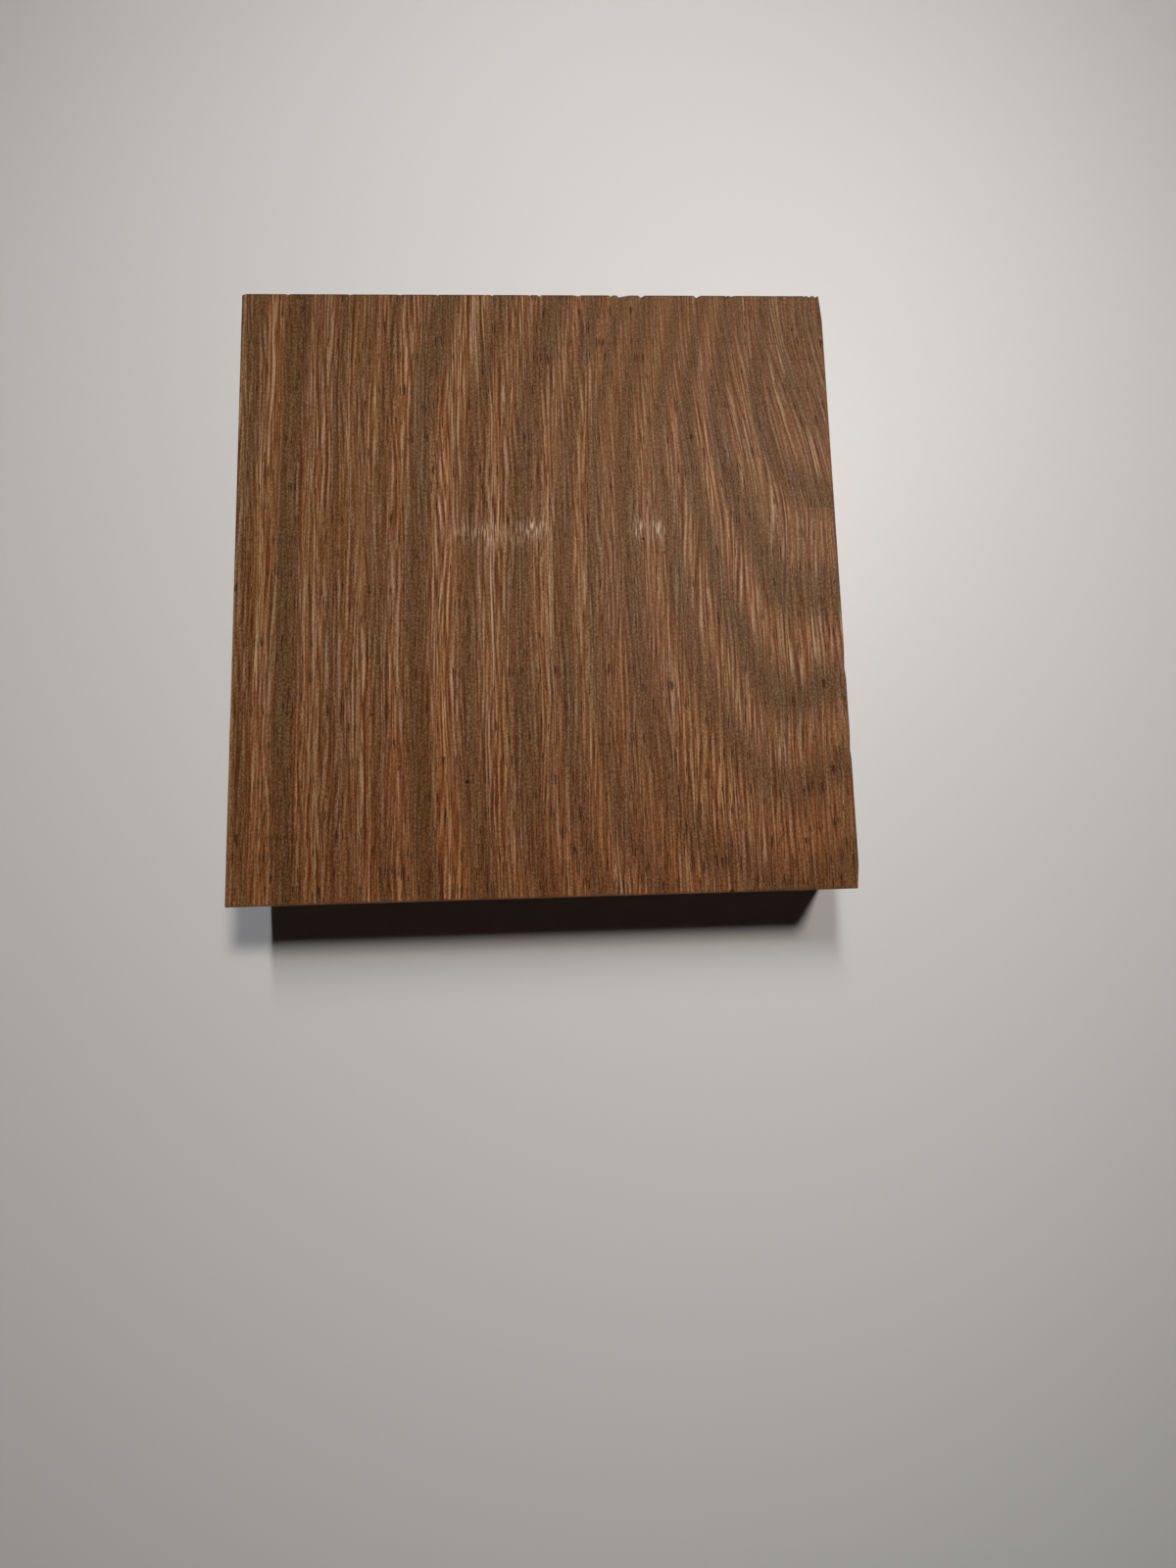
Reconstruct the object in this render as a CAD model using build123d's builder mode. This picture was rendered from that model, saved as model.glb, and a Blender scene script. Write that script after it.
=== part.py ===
from build123d import *
import os

# Oak finish sample: one square block, sawn across the grain from a planed and stained board.
# X runs across the grain, Y along the grain, Z up from the underside.
board_width = 97.0
board_length = 100.0
board_thickness = 14.0

# Edges along the grain are sanded round above and chamfered below. The saw's edges are only touched.
long_edge_radius = 0.3
foot_chamfer = 0.35
sawn_edge_chamfer = 0.12

# Torn grain at the top of the two sawn ends. Each tear is a cleft that runs out along the grain:
# its deepest line as a share of the width from the left, its reach to the left and to the right
# of that line, and its depth at the sawn end
back_tears = [
    (0.000, 0.6, 1.5, 0.30),
    (0.077, 0.6, 0.8, 0.26),
    (0.181, 0.6, 1.1, 0.25),
    (0.268, 1.6, 0.6, 0.24),
    (0.331, 0.6, 0.6, 0.26),
    (0.412, 0.5, 0.5, 0.22),
    (0.424, 0.6, 0.6, 0.28),
    (0.489, 0.5, 0.5, 0.26),
    (0.506, 0.6, 0.6, 0.38),
    (0.574, 1.6, 0.7, 0.30),
    (0.630, 0.6, 0.6, 0.36),
    (0.644, 0.6, 2.6, 0.48),
    (0.683, 0.7, 0.9, 0.52),
    (0.780, 0.7, 1.0, 0.54),
    (0.832, 0.5, 0.5, 0.24),
    (0.841, 0.6, 1.3, 0.28),
    (0.971, 0.5, 0.4, 0.24),
    (0.980, 0.5, 0.6, 0.38),
    (0.991, 0.5, 0.6, 0.42),
]
front_tears = [
    (0.754, 0.6, 0.6, 0.28),
    (0.792, 0.7, 0.7, 0.30),
]
tear_slope = 0.45

# Splinters cleaved off the top of the right side. The first and the last take in a corner, and each
# runs out down the side: its deepest line as a share of the length from the front, its reach
# to the front and to the back of that line, and its bite into the face
right_splinters = [
    (0.000, 1.0, 5.0, 0.48),
    (0.217, 2.2, 4.4, 0.26),
    (0.350, 2.3, 5.3, 0.29),
    (1.000, 6.0, 1.0, 0.48),
]
splinter_slope = 0.2

# How far each cut is carried on past the wood, as a share of the cut
carry_on = 0.5


def tear_plane(share, depth, side):
    # at the tear's deepest point on the sawn end, tipped so that the cleft rises into the block
    deepest = (
        (share - 0.5) * board_width,
        side * board_length / 2,
        board_thickness - depth,
    )
    return Plane(origin=deepest, x_dir=(1, 0, 0), z_dir=(0, -1, side * tear_slope))


def splinter_plane(share, bite):
    # at the splinter's deepest point on the face, tipped so that the cleft leaves the side
    deepest = (
        board_width / 2 - bite,
        (share - 0.5) * board_length,
        board_thickness,
    )
    return Plane(origin=deepest, x_dir=(0, 1, 0), z_dir=(splinter_slope, 0, -1))


clefts = [
    (tear_plane(share, depth, side), left_reach, right_reach, depth, tear_slope)
    for side, tears in ((1, back_tears), (-1, front_tears))
    for share, left_reach, right_reach, depth in tears
] + [
    (splinter_plane(share, bite), front_reach, back_reach, bite, splinter_slope)
    for share, front_reach, back_reach, bite in right_splinters
]

with BuildPart() as oak_sample:
    with BuildSketch():
        Rectangle(board_width, board_length)
    extrude(amount=board_thickness)

    # edges along the grain, then the outline of each sawn end
    fillet(oak_sample.edges().filter_by(Axis.Y).group_by(Axis.Z)[-1], radius=long_edge_radius)
    chamfer(oak_sample.edges().filter_by(Axis.Y).group_by(Axis.Z)[0], length=foot_chamfer)
    chamfer(oak_sample.faces().filter_by(Axis.Y).edges(), length=sawn_edge_chamfer)

    # torn grain and splinters
    for plane, first_reach, second_reach, depth, slope in clefts:
        run_out = depth / slope
        with BuildSketch(plane):
            with BuildLine():
                Polyline(
                    (0, 0),
                    (second_reach * (1 + carry_on), depth * (1 + carry_on)),
                    (-first_reach * (1 + carry_on), depth * (1 + carry_on)),
                    close=True,
                )
            make_face()
        extrude(amount=run_out * (1 + carry_on), both=True, mode=Mode.SUBTRACT)

oak_sample.part.label = "oak_sample"

os.makedirs("parts", exist_ok=True)
export_step(oak_sample.part, "parts/oak_sample.step")
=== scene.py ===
import math

import bpy
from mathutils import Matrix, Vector


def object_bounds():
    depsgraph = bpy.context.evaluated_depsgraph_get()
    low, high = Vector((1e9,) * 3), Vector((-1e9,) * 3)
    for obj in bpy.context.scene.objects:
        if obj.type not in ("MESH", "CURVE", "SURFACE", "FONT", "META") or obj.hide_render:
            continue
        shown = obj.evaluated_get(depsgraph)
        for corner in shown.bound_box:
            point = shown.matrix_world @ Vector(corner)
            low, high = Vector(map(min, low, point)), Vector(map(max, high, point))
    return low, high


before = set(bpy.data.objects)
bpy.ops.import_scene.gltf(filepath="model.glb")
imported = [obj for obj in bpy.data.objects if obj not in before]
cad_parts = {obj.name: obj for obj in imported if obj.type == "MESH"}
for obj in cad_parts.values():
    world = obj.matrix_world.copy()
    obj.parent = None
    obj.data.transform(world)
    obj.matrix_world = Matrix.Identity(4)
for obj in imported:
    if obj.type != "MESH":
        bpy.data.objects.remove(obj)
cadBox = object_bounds()
print("frame loaded:", ", ".join(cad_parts))

# The wood is described in millimetres, from the middle of the block's underside
mm = 0.001
halfWidth, halfLength, face = (round(side / mm, 2) for side in cadBox[1])


def paint(red, green, blue):
    # a screen colour, 0 to 255, as the shader's linear colour
    def linear(level):
        level /= 255
        return level / 12.92 if level <= 0.04045 else ((level + 0.055) / 1.055) ** 2.4

    return (linear(red), linear(green), linear(blue), 1.0)


class Value:
    # wraps a node's output so that node maths reads as a plain sum
    def __init__(self, graph, socket):
        self.graph = graph
        self.socket = socket

    def __add__(self, other):
        return self.graph.maths("ADD", self, other)

    def __radd__(self, other):
        return self.graph.maths("ADD", other, self)

    def __sub__(self, other):
        return self.graph.maths("SUBTRACT", self, other)

    def __rsub__(self, other):
        return self.graph.maths("SUBTRACT", other, self)

    def __mul__(self, other):
        return self.graph.maths("MULTIPLY", self, other)

    def __rmul__(self, other):
        return self.graph.maths("MULTIPLY", other, self)

    def __truediv__(self, other):
        return self.graph.maths("DIVIDE", self, other)

    def __rtruediv__(self, other):
        return self.graph.maths("DIVIDE", other, self)

    def root(self):
        return self.graph.maths("SQRT", self)

    def size(self):
        return self.graph.maths("ABSOLUTE", self)

    def atLeast(self, level):
        return self.graph.maths("MAXIMUM", self, level)

    def clamp(self):
        return self.graph.node("ShaderNodeClamp", {}, {"Value": self})

    def bump(self, middle, halfWide):
        # 1 at the middle, falling to 0 like a bell
        away = (self - middle) / halfWide
        return self.graph.maths("EXPONENT", away * away * -1.0)

    def step(self, low, high):
        # 0 below low, 1 above high, smooth between
        feed = {"Value": self, "From Min": low, "From Max": high}
        return self.graph.node("ShaderNodeMapRange", {"interpolation_type": "SMOOTHSTEP"}, feed)

    def contrast(self, factor):
        # stretched or flattened about the middle of 0 to 1
        return (self - 0.5) * factor + 0.5


class Graph:
    # one shader's node tree, and the single way in which its nodes are made
    def __init__(self, tree):
        self.tree = tree

    def node(self, kind, settings, inputs, output=0):
        made = self.tree.nodes.new(kind)
        for name, setting in settings.items():
            if name == "stops":
                self.setStops(made.color_ramp, setting)
            elif name == "curve":
                self.setCurve(made.mapping, setting)
            else:
                setattr(made, name, setting)
        for name, value in inputs.items():
            if isinstance(value, Value):
                self.tree.links.new(value.socket, made.inputs[name])
            else:
                made.inputs[name].default_value = value
        return Value(self, made.outputs[output])

    def setStops(self, ramp, stops):
        while len(ramp.elements) < len(stops):
            ramp.elements.new(0.5)
        for element, (place, colour) in zip(ramp.elements, stops):
            element.position = place
            element.color = colour

    def setCurve(self, mapping, points):
        line = mapping.curves[0]
        while len(line.points) < len(points):
            line.points.new(0.5, 0.5)
        for point, (place, level) in zip(line.points, points):
            point.location = (place, level)
        mapping.update()

    def maths(self, operation, *inputs):
        return self.node("ShaderNodeMath", {"operation": operation}, dict(enumerate(inputs)))

    def vector(self, x, y, z):
        return self.node("ShaderNodeCombineXYZ", {}, {"X": x, "Y": y, "Z": z})

    def split(self, vector):
        return [self.node("ShaderNodeSeparateXYZ", {}, {0: vector}, axis) for axis in "XYZ"]

    def mix(self, factor, first, second, blend="MIX"):
        # a Mix node keeps its colours in sockets 6 and 7, and gives the mixed one in output 2
        settings = {"data_type": "RGBA", "blend_type": blend}
        return self.node("ShaderNodeMix", settings, {0: factor, 6: first, 7: second}, 2)

    def tint(self, colour, tint, factor=1.0):
        return self.mix(factor, colour, tint, "MULTIPLY")

    def ramp(self, factor, stops):
        return self.node("ShaderNodeValToRGB", {"stops": stops}, {0: factor})

    def feed(self, shader, name, value):
        self.tree.links.new(value.socket, shader.inputs[name])


# How the growth rings run. They are straight at the left and close to arches at the right.
grain = {
    "heart": 98.2,  # where the tree's heart runs, from the left edge
    "heartSway": (0.0, -0.2, -4.8),  # its drift along the grain
    "swayFrom": (16.0, 92.0),  # where that sets in and where it is full, from the left edge
    "tipSway": -9.6,  # a further drift at the tips of the arches
    "tipFrom": (74.5, 97.0),  # where the tips lie, from the left edge
    "tipStart": -0.6,  # where they begin along the block: -1 is its back edge, 1 its front one
    "depth": (23.7, 22.4, -13.0, 6.6),  # the heart's depth below the face, which it nears at the back
    "leastDepth": 0.3,
    "depthReach": 64.0,  # how far from the heart its depth still bends the rings
    "bow": (0.0, -6.1, 6.8),  # how the rings bow along the grain, most at bowMiddle from the heart
    "bowMiddle": 25.6,
    "bowReach": 45.8,
    "faint": ((34.0, 16.0), (50.0, 13.0)),  # where the rings are faint: middle and half size in x and y
    "ringSpan": 112.0,
    # each ring's distance from the heart, and 0 for dark to 1 for light
    "rings": [
        (0, 0.5), (6.5, 0.55), (9.2, 0.36), (12.3, 0.5), (14.4, 0.66), (17.8, 0.2), (20.4, 0.74),
        (22.6, 0.66), (25, 0.18), (27.5, 0.86), (30, 0.18), (32.3, 0.78), (34.2, 0.26), (36.7, 0.75),
        (40.2, 0.24), (42.3, 0.64), (44.6, 0.28), (46.3, 0.74), (48.8, 0.2), (51.4, 0.76), (55, 0.16),
        (59.2, 0.78), (60.6, 0.68), (62.6, 0.16), (66.3, 0.98), (70, 0.06), (73.8, 0.74), (74.6, 0.74),
        (76.5, 0.25), (78.7, 0.7), (80.4, 0.48), (81.5, 0.56), (83.4, 0.26), (86.4, 0.66), (88.3, 0.58),
        (90.6, 0.0), (93.2, 0.86), (95, 0.66), (96.5, 0.3), (98.5, 0.5), (112, 0.5),
    ],
}


def curveAlong(along, factors):
    # a smooth curve along the block, from its factors for the powers 0, 1, 2 and so on
    height = factors[-1]
    for factor in reversed(factors[:-1]):
        height = factor + along * height
    return height


def ringPlace(x, y, z):
    # the distance from the tree's heart, bent as the arches are
    along = y / -halfLength
    fromLeft = x + halfWidth
    sway = curveAlong(along, grain["heartSway"]) * fromLeft.step(*grain["swayFrom"])
    tips = (along - grain["tipStart"]).atLeast(0.0)
    sway = sway + tips * grain["tipSway"] * fromLeft.step(*grain["tipFrom"])
    across = grain["heart"] - fromLeft + sway
    depth = curveAlong(along, grain["depth"]).atLeast(grain["leastDepth"]) + (face - z)
    reach = across / grain["depthReach"]
    depth = depth / (reach * reach + 1)
    bow = curveAlong(along, grain["bow"]) * across.bump(grain["bowMiddle"], grain["bowReach"])
    return (across * across + depth * depth).root() + bow


# Noise drawn out along the grain: width and length of its cells, detail, seed
figure = {
    "wander": (6.0, 80.0, 0, 3.1),
    "fray": (0.45, 14.0, 1, 7.7),
    "ringLine": (0.8, 70.0, 1, 11.3),
    "longStreak": (0.9, 60.0, 0, 17.9),
    "shortStreak": (0.8, 16.0, 0, 61.3),
    "fineStreak": (0.42, 6.5, 0, 23.3),
    "waver": (4.0, 24.0, 0, 71.3),
    "spacing": (1.1, 26.0, 1, 5.9),
    "lightLine": (0.27, 20.0, 0, 53.3),
    "warmDrift": (1.2, 30.0, 1, 41.9),
    "redDrift": (1.5, 25.0, 0, 91.7),
    "pore": (0.17, 2.8, 0, 29.1),
    "speckle": (0.26, 0.4, 1, 31.7),
    "cloud": (9.0, 30.0, 1, 37.3),
    "dash": (0.24, 2.4, 0, 83.3),
    "patch": (1.0, 2.6, 0, 67.9),
    "endPore": (0.3, 5.0, 0, 97.1),
    "sawLine": (0.5, 90.0, 1, 13.7),
}
seedAlong = 0.37  # the share of its seed by which a noise is shifted along the grain
noiseRoughness = 0.6

# Where a noise begins to show, and where it shows in full
ranges = {
    "swing": (0.3, 0.7),
    "lightLine": (0.62, 0.72),
    "warmDrift": (0.35, 0.65),
    "redDrift": (0.35, 0.65),
    "pore": (0.69, 0.74),
    "dash": (0.46, 0.6),
    "patch": (0.38, 0.58),
    "endPore": (0.52, 0.64),
}

# How strongly each of these shows
weights = {
    "wander": 1.2,  # mm, for the stray of the rings
    "waver": 1.2,  # mm, for the stray of the fibres
    "spacing": 1.0,  # mm, for how the fine streaks crowd and part
    "fray": 1.1,  # mm, for how the arches are frayed along the grain
    "ringLine": 0.09,
    "archBands": 0.2,
    "faint": 0.5,
    "streakContrast": 5.0,
    "broadStreak": 0.09,
    "fineStreak": (0.2, 0.03),  # at the straight grain, and less by this at the arches
    "lightLine": 0.17,
    "streaksInBand": (0.4, 0.9),  # in a dark band, and more by this in a light one
    "streaksInCloud": 0.2,
    "streaksOnEnds": 0.3,
    "calm": 0.5,
    "middleTone": 0.49,
    "speckle": (0.18, 0.08),  # in a dark band, and less by this in a light one
    "cloud": 0.01,
    "pore": 0.8,
    "poresAtFront": 0.05,
    "endPore": (0.6, 0.7),  # on the sawn ends, and its loss in a light band
}

# Places in the wood, from the block's middle: from where to where something sets in, or for calm,
# a plain place near the back, its middle and half size in x and y
places = {
    "arches": (-5.0, 30.0),
    "leanAcross": (10.0, 44.0),
    "leanAlong": (10.0, 50.0),
    "calm": ((17.0, 12.0), (44.0, 14.0)),
    "front": (5.0, 60.0),
    "back": (20.0, 46.0),
}
leanFar = 6.5  # how far the fibres lean with the arches at the back right

# The sawn ends and the long sides: how far in from the edge they begin and are full,
# and the middle of the saw blade, in x and z
edges = {"ends": (0.4, 0.1), "sides": (0.3, 0.05), "bladeMiddle": (30.0, -70.0)}


def grainNoise(graph, fibre, name):
    width, length, detail, seed = figure[name]
    x, y, z = fibre
    vector = graph.vector(x / width + seed, y / length + seed * seedAlong, z / width - seed)
    inputs = {"Vector": vector, "Scale": 1.0, "Detail": float(detail), "Roughness": noiseRoughness}
    return graph.node("ShaderNodeTexNoise", {"noise_dimensions": "3D"}, inputs)


def shows(graph, fibre, name):
    # noise as a mask, 0 where it is low and 1 where it is high
    return grainNoise(graph, fibre, name).step(*ranges[name])


def swing(graph, fibre, name):
    # noise stretched to the range from -1 to 1
    return grainNoise(graph, fibre, name).step(*ranges["swing"]) * 2 - 1


def stray(graph, fibre, name):
    # noise as a shift to either side, by half its weight at most
    return (grainNoise(graph, fibre, name) - 0.5) * weights[name]


def streaks(graph, fibre, name):
    # light and dark lines of even weight: noise less the same noise half a cell further
    x, y, z = fibre
    halfCell = figure[name][0] / 2
    beside = grainNoise(graph, (x + halfCell, y, z), name)
    return (grainNoise(graph, fibre, name) - beside) * weights["streakContrast"]


def nearEdge(place, edge, reach):
    # 1 at an edge and 0 further in
    begins, full = reach
    return place.step(edge - begins, edge - full)


def inPlace(x, y, name, settings):
    # 1 in the middle of a place, fading out around it
    acrossGrain, alongGrain = settings[name]
    return x.bump(*acrossGrain) * y.bump(*alongGrain)


def distance(first, second, middle):
    firstAway, secondAway = first - middle[0], second - middle[1]
    return (firstAway * firstAway + secondAway * secondAway).root()


def fibreRun(graph, x, y, z, sides):
    # a point's place among the fibres, which lean at the back right and stray a little
    leaning = x.step(*places["leanAcross"]) * y.step(*places["leanAlong"]) * (1 - sides)
    fibre = (x + leaning * leanFar, y, z)
    return (fibre[0] + stray(graph, fibre, "waver"), y, z)


def ringBand(graph, fibre, x, y, z, arches):
    # the rings' bands, 0 where dark and 1 where light
    fray = swing(graph, fibre, "fray") * weights["fray"]
    ring = ringPlace(x, y + fray, z) + stray(graph, fibre, "wander")
    span = grain["ringSpan"]
    curve = [(reach / span, level) for reach, level in grain["rings"]]
    band = graph.node("ShaderNodeFloatCurve", {"curve": curve}, {"Value": ring / span})
    ringLine = swing(graph, (ring, y, 0.0), "ringLine")
    band = band.contrast(arches * weights["archBands"] + 1)
    band = band + ringLine * weights["ringLine"] * (1 - arches)
    return band.contrast(1 - inPlace(x, y, "faint", grain) * weights["faint"])


def streakLines(graph, fibre, x, y, band, arches, ends, cloud):
    # streaks along the fibres, strongest in the light bands and weak on the sawn ends
    longStreak = streaks(graph, fibre, "longStreak") * (1 - arches)
    shortStreak = streaks(graph, fibre, "shortStreak") * arches
    crowded = (fibre[0] + stray(graph, fibre, "spacing"), *fibre[1:])
    fineStreak = streaks(graph, crowded, "fineStreak")
    straight, lessAtArches = weights["fineStreak"]
    lines = (longStreak + shortStreak) * weights["broadStreak"]
    lines = lines + fineStreak * (straight - arches * lessAtArches)
    lines = lines + shows(graph, fibre, "lightLine") * weights["lightLine"]
    inDark, gain = weights["streaksInBand"]
    strength = (band * gain + inDark) * (cloud * weights["streaksInCloud"] + 1)
    strength = strength * (1 - inPlace(x, y, "calm", places) * weights["calm"])
    return lines * strength * (1 - ends * (1 - weights["streaksOnEnds"]))


# Colours from dark to light: the fine streaks, then what the rings' bands do to them
stain = {
    "streakColours": [
        (0.0, paint(84, 45, 19)),
        (0.25, paint(109, 65, 35)),
        (0.5, paint(131, 91, 57)),
        (0.75, paint(160, 127, 93)),
        (1.0, paint(185, 156, 125)),
    ],
    "bandTints": [
        (0.0, (0.563, 0.578, 0.577, 1.0)),
        (0.5, (0.845, 0.814, 0.843, 1.0)),
        (1.0, (1.116, 1.036, 1.063, 1.0)),
    ],
    "warmTint": (1.05, 1.0, 0.89, 1.0),
    "coolTint": (0.98, 1.01, 1.06, 1.0),
    "redTint": (1.022, 0.985, 0.99, 1.0),
    "greenTint": (0.978, 1.015, 1.0, 1.0),
    # painted light and shade, partly the wood's own tone: warmer towards the front, darker towards the
    # back
    "frontToneAndPaintedLight": (1.0, 0.87, 0.77, 1.0),
    "backToneAndPaintedShade": (0.9, 0.905, 0.895, 1.0),
    "endTint": (0.72, 0.68, 0.64, 1.0),
    "poreColour": paint(48, 26, 13),
}


def stainAndPaintedLightColour(graph, fibre, y, tone, band, ends, towardsFront):
    # the stain over streaks and bands, with its warm and cool, red and green drift; then painted light
    # and shade, partly the wood's own tone, make the face warmer towards the front and darker towards the
    # back
    colour = graph.ramp(tone, stain["streakColours"])
    colour = graph.tint(colour, graph.ramp(band, stain["bandTints"]))
    warm = shows(graph, fibre, "warmDrift")
    colour = graph.tint(colour, graph.mix(warm, stain["coolTint"], stain["warmTint"]))
    red = shows(graph, fibre, "redDrift")
    colour = graph.tint(colour, graph.mix(red, stain["greenTint"], stain["redTint"]))
    # painted light and shade, partly the wood's own tone: warmer towards the front, darker towards the
    # back
    colour = graph.tint(colour, stain["frontToneAndPaintedLight"], towardsFront)
    return graph.tint(colour, stain["backToneAndPaintedShade"], y.step(*places["back"]) * (1 - ends))


def endGrain(graph, fibre, x, y, z, band, ends):
    # masks for the sawn ends: open pores, fewest in the light bands, and the arcs that the saw left
    openPore = shows(graph, fibre, "endPore") * (1 - band * weights["endPore"][1]) * ends
    sawLine = swing(graph, (distance(x, z, edges["bladeMiddle"]), y, 0.0), "sawLine") * ends
    return openPore, sawLine


# Wear on the face, and a painted highlight along its front edge; places are from its left and back edges
marks = {
    "deep": (0.6, 0.3),  # how far below the face it fades out and is full
    # a row of scuffs across the grain: middle, half sizes, strength
    "scuffs": [
        ((47.6, 41.2), (1.5, 1.4), 1.5),
        ((64.2, 41.2), (0.8, 1.4), 1.6),
        ((67.2, 41.2), (1.2, 2.0), 1.2),
        ((40.5, 41.6), (6.5, 1.9), 0.75),
    ],
    # the pale colour of the scuffs, also used for the painted highlight along the front edge
    "scuffAndHighlightColour": paint(214, 184, 160),
    "scuffCover": 0.75,
    "patchy": 0.65,  # how much of a scuff comes and goes in patches
    # dark specks: middle, radius
    "specks": [
        ((36.4, 81.9), 0.4),
        ((65.1, 43.0), 0.26),
        ((68.4, 45.3), 0.2),
        ((7.8, 60.5), 0.16),
        ((21.7, 71.1), 0.22),
    ],
    "speckCore": 0.6,  # as a share of the radius
    "speckColour": paint(34, 18, 12),
    "speckCover": 0.95,
    # fine scratches: from, to
    "scratches": [
        ((58.5, 70.3), (60.1, 72.4)),
        ((58.3, 71.4), (59.0, 72.9)),
        ((64.2, 78.4), (64.5, 80.2)),
        ((64.6, 80.4), (65.3, 82.0)),
    ],
    "scratchWidth": 0.07,
    "scratchEnds": (0.35, 0.5),  # where it fades out, as shares of its length from its middle
    "scratchColour": paint(172, 136, 106),
    "scratchCover": 0.6,
    # the front sawn edge, painted pale: a painted highlight along the arris, with some rubbed wear
    "wearAndHighlightEdge": (0.14, 0.11),
    "wearAndHighlightCover": 0.35,
}


def faceMarks(graph, fibre, x, y, z):
    # masks for the scuffs, the specks and the scratches
    fromLeft = x + halfWidth
    fromBack = halfLength - y
    scuff = speck = scratch = 0
    for (left, back), (halfWide, halfLong), strength in marks["scuffs"]:
        scuff = scuff + fromLeft.bump(left, halfWide) * fromBack.bump(back, halfLong) * strength
    for middle, radius in marks["specks"]:
        away = distance(fromLeft, fromBack, middle)
        speck = speck + (1 - away.step(radius * marks["speckCore"], radius))
    for start, end in marks["scratches"]:
        runAcross, runAlong = end[0] - start[0], end[1] - start[1]
        length = math.hypot(runAcross, runAlong)
        across = fromLeft - (start[0] + end[0]) / 2
        along = fromBack - (start[1] + end[1]) / 2
        lengthwise = (across * runAcross + along * runAlong) / length
        sideways = (across * runAlong - along * runAcross) / length
        fades = [length * share for share in marks["scratchEnds"]]
        scratch = scratch + sideways.bump(0, marks["scratchWidth"]) * (1 - lengthwise.size().step(*fades))
    patchy = marks["patchy"]
    dash = shows(graph, fibre, "dash") * (shows(graph, fibre, "patch") * patchy + (1 - patchy))
    onFace = nearEdge(z, face, marks["deep"])
    return scuff * dash * onFace, speck * onFace, scratch * onFace


# The finish is matt. Relief is a share of a pore's depth, rougher a change in roughness.
surface = {
    "roughness": 0.55,
    "sheen": 0.15,
    "bumpStrength": 0.6,
    "poreDepth": 0.02,
    "relief": {"lines": 0.5, "speckle": 0.1, "openPore": 0.8, "sawLine": 0.7},
    "rougher": {"pore": 0.15, "speckle": 0.04, "scuff": -0.1},
}


def oakMaterial():
    material = bpy.data.materials.new("stainedOak")
    material.use_nodes = True
    graph = Graph(material.node_tree)
    shader = material.node_tree.nodes["Principled BSDF"]
    place = graph.node("ShaderNodeTexCoord", {}, {}, "Object")
    x, y, z = (part * (1 / mm) for part in graph.split(place))
    ends = nearEdge(y.size(), halfLength, edges["ends"])
    sides = nearEdge(x.size(), halfWidth, edges["sides"])
    arches = x.step(*places["arches"])
    forwards = y * -1.0
    towardsFront = forwards.step(*places["front"])
    fibre = fibreRun(graph, x, y, z, sides)

    # stain over streaks and bands
    band = ringBand(graph, fibre, x, y, z, arches)
    cloud = swing(graph, fibre, "cloud")
    speckle = swing(graph, fibre, "speckle")
    lines = streakLines(graph, fibre, x, y, band, arches, ends, cloud)
    inDark, loss = weights["speckle"]
    tone = weights["middleTone"] + lines + speckle * (inDark - band * loss) + cloud * weights["cloud"]
    colour = stainAndPaintedLightColour(graph, fibre, y, tone, band, ends, towardsFront)

    # fine pores, then the sawn ends
    pore = grainNoise(graph, fibre, "pore") + towardsFront * weights["poresAtFront"]
    pore = pore.step(*ranges["pore"]) * (1 - ends)
    colour = graph.mix(pore * weights["pore"], colour, stain["poreColour"])
    colour = graph.tint(colour, stain["endTint"], ends)
    openPore, sawLine = endGrain(graph, fibre, x, y, z, band, ends)
    colour = graph.mix(openPore * weights["endPore"][0], colour, stain["poreColour"])

    # wear, and a painted highlight along the front edge
    scuff, speck, scratch = faceMarks(graph, fibre, x, y, z)
    # a pale line along the front top edge: painted highlight, partly rubbed wear
    paleEdgeWearAndHighlight = nearEdge(forwards, halfLength, marks["wearAndHighlightEdge"]) * nearEdge(z, face, marks["wearAndHighlightEdge"])
    colour = graph.mix((scuff * marks["scuffCover"]).clamp(), colour, marks["scuffAndHighlightColour"])
    colour = graph.mix((scratch * marks["scratchCover"]).clamp(), colour, marks["scratchColour"])
    colour = graph.mix((speck * marks["speckCover"]).clamp(), colour, marks["speckColour"])
    colour = graph.mix(paleEdgeWearAndHighlight * marks["wearAndHighlightCover"], colour, marks["scuffAndHighlightColour"])

    # relief and roughness
    rise, rougher = surface["relief"], surface["rougher"]
    relief = lines * rise["lines"] + speckle * rise["speckle"] - pore - speck
    relief = relief - openPore * rise["openPore"] + sawLine * rise["sawLine"]
    bumps = {"Strength": surface["bumpStrength"], "Distance": surface["poreDepth"] * mm, "Height": relief}
    roughness = surface["roughness"] + pore * rougher["pore"] + speckle * rougher["speckle"]
    roughness = roughness + scuff * rougher["scuff"]
    graph.feed(shader, "Base Color", colour)
    graph.feed(shader, "Roughness", roughness)
    graph.feed(shader, "Normal", graph.node("ShaderNodeBump", {}, bumps))
    shader.inputs["Specular IOR Level"].default_value = surface["sheen"]
    return material


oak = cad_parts["oak_sample"]
oakFinish = oakMaterial()
for slot in oak.material_slots:
    slot.material = oakFinish
print("block finished, material slots:", len(oak.material_slots))

# The table that the block lies on
floorSettings = {"size": 0.48, "colour": (0.78, 0.77, 0.76, 1), "roughness": 0.5}
bpy.ops.object.select_all(action="DESELECT")
bpy.ops.mesh.primitive_plane_add(size=floorSettings["size"], location=(0, 0, 0))
floor = bpy.context.object
floor.name = "floor"
floorFinish = bpy.data.materials.new("paleFloor")
floorFinish.use_nodes = True
floorShader = floorFinish.node_tree.nodes["Principled BSDF"]
floorShader.inputs["Base Color"].default_value = floorSettings["colour"]
floorShader.inputs["Roughness"].default_value = floorSettings["roughness"]
floor.data.materials.append(floorFinish)
print("table laid")

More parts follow.
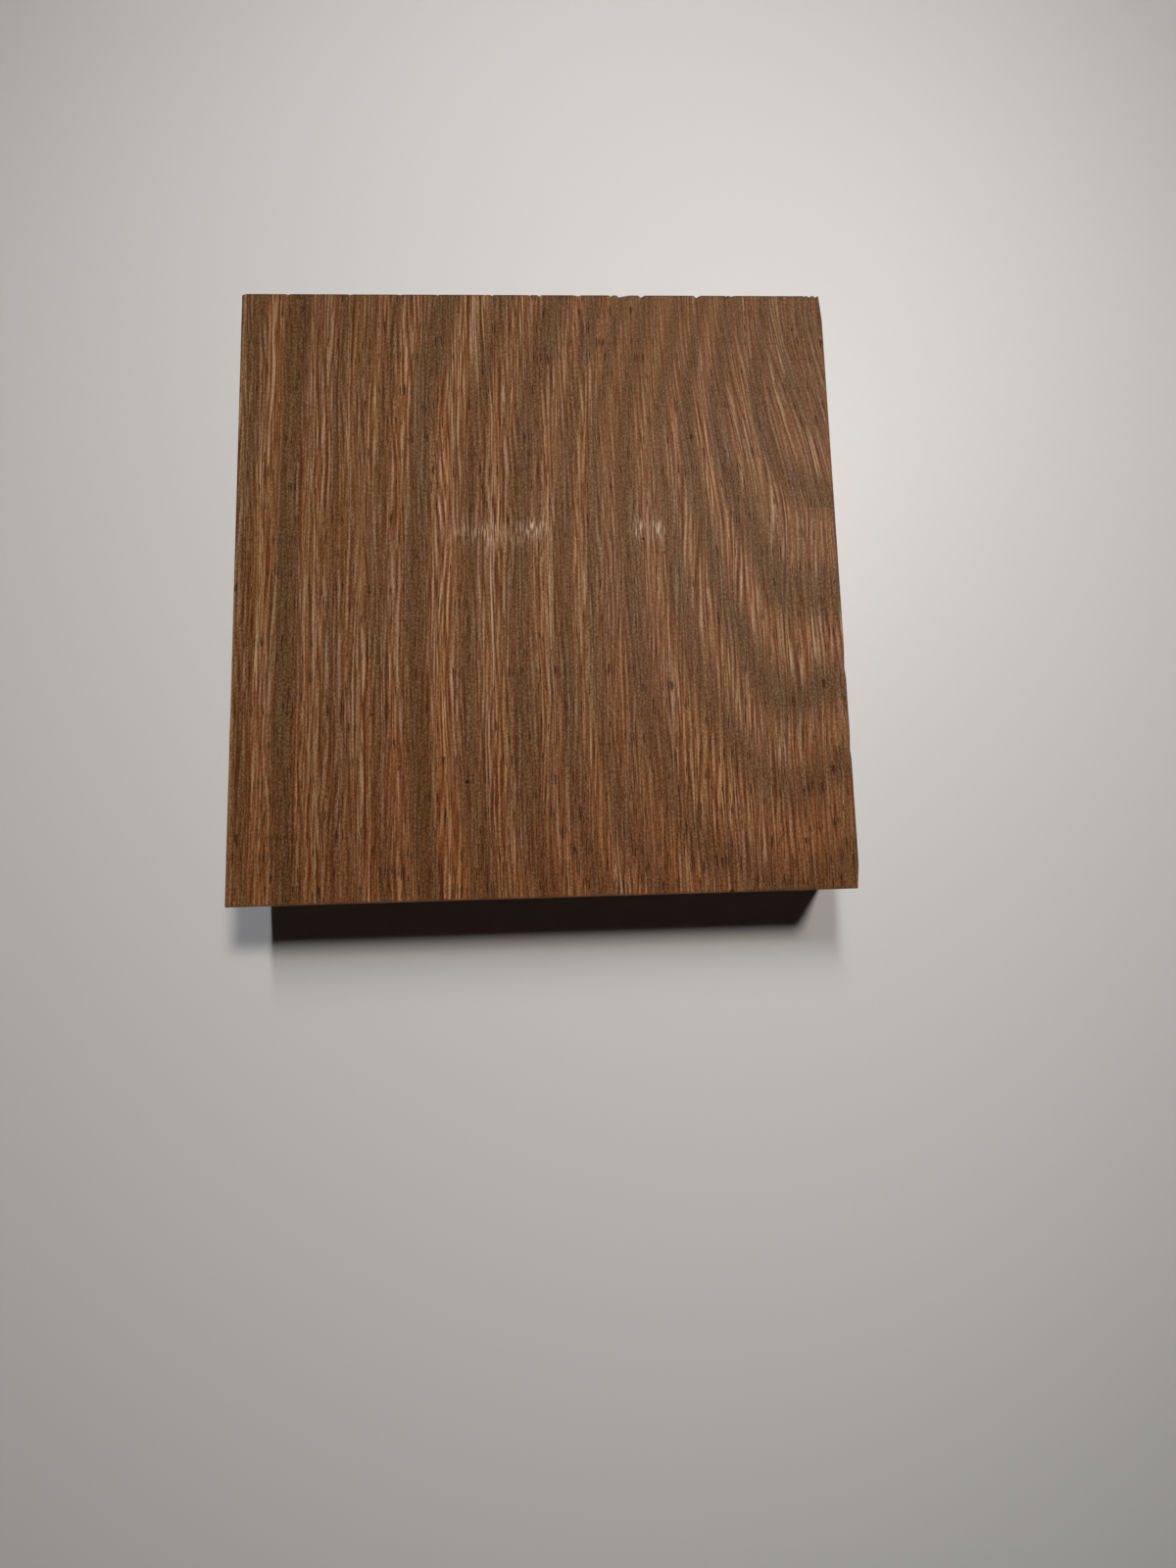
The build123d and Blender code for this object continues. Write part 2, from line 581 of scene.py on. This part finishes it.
# Light: a warm round lamp behind and to the right, with a wide and weak one in the same place, a cooler
# narrow window behind and to the left, and a faint low fill in front. Directions are in degrees: round
# from the back towards the right, and up from the table.
lamps = {
    "warmLamp": {
        "round": 36, "up": 56, "away": 0.8, "radius": 0.076, "cone": 34, "blend": 1.0,
        "power": 10.6, "colour": (1.0, 0.945, 0.86),
    },
    "warmSpill": {
        "round": 36, "up": 56, "away": 0.8, "radius": 0.076, "cone": 170, "blend": 0.3,
        "power": 2.9, "colour": (1.0, 0.945, 0.86),
    },
    "coolWindow": {
        "round": -7, "up": 48, "away": 0.8, "size": (0.05, 0.3), "spread": 44, "aim": (0.03, 0.02, 0),
        "power": 0.21, "colour": (0.93, 0.95, 1.0), "shows": False,
    },
    "lowFill": {
        "round": 172, "up": 3, "away": 0.9, "size": (0.4, 0.05), "spread": 60,
        "power": 0.06, "colour": (1.0, 0.9, 0.8), "shows": False,
    },
}


def hangLamp(name, settings):
    isRound = "radius" in settings
    light = bpy.data.lights.new(name, "SPOT" if isRound else "AREA")
    if isRound:
        light.shadow_soft_size = settings["radius"]
        light.spot_size = math.radians(settings["cone"])
        light.spot_blend = settings["blend"]
    else:
        light.shape = "RECTANGLE"
        light.size, light.size_y = settings["size"]
        light.spread = math.radians(settings["spread"])
    light.energy = settings["power"]
    light.color = settings["colour"]
    lamp = bpy.data.objects.new(name, light)
    turn, rise = math.radians(settings["round"]), math.radians(settings["up"])
    out = Vector((math.sin(turn) * math.cos(rise), math.cos(turn) * math.cos(rise), math.sin(rise)))
    lamp.location = out * settings["away"]
    towards = Vector(settings.get("aim", (0, 0, 0))) - lamp.location
    lamp.rotation_euler = towards.to_track_quat("-Z", "Y").to_euler()
    lamp.visible_glossy = settings.get("shows", True)
    bpy.context.scene.collection.objects.link(lamp)


for name, settings in lamps.items():
    hangLamp(name, settings)

# The room: a faint warm light all round, and the pale wall that the camera sees beyond the table
room = {"light": (1.0, 0.88, 0.8, 1.0), "lightStrength": 0.006, "wall": (0.34, 0.335, 0.33, 1.0)}
world = bpy.data.worlds.new("room")
world.use_nodes = True
roomGraph = Graph(world.node_tree)
lightInputs = {"Color": room["light"], "Strength": room["lightStrength"]}
faintLight = roomGraph.node("ShaderNodeBackground", {}, lightInputs)
wall = roomGraph.node("ShaderNodeBackground", {}, {"Color": room["wall"], "Strength": 1.0})
cameraRay = roomGraph.node("ShaderNodeLightPath", {}, {}, "Is Camera Ray")
seen = roomGraph.node("ShaderNodeMixShader", {}, {0: cameraRay, 1: faintLight, 2: wall})
roomGraph.feed(world.node_tree.nodes["World Output"], "Surface", seen)
bpy.context.scene.world = world
bpy.context.scene.view_settings.view_transform = "Standard"
print("lamps and room set")

# Camera: a wide phone lens held level above the front half of the block
phone = {
    "place": (3.47, -40.96, 105.03),
    "turn": (5.2314, -1.7891, -1.5363),
    "focalPixels": 600,
    "imageHeight": 1600,
    "sensor": 36.0,
    "nearest": 0.005,
}
camera = bpy.data.objects.new("camera", bpy.data.cameras.new("camera"))
camera.data.sensor_width = phone["sensor"]
camera.data.lens = phone["focalPixels"] / phone["imageHeight"] * phone["sensor"]
camera.location = Vector(phone["place"]) * mm
camera.rotation_euler = [math.radians(turn) for turn in phone["turn"]]
camera.data.clip_start = phone["nearest"]
bpy.context.scene.collection.objects.link(camera)
bpy.context.scene.camera = camera
print("camera set")
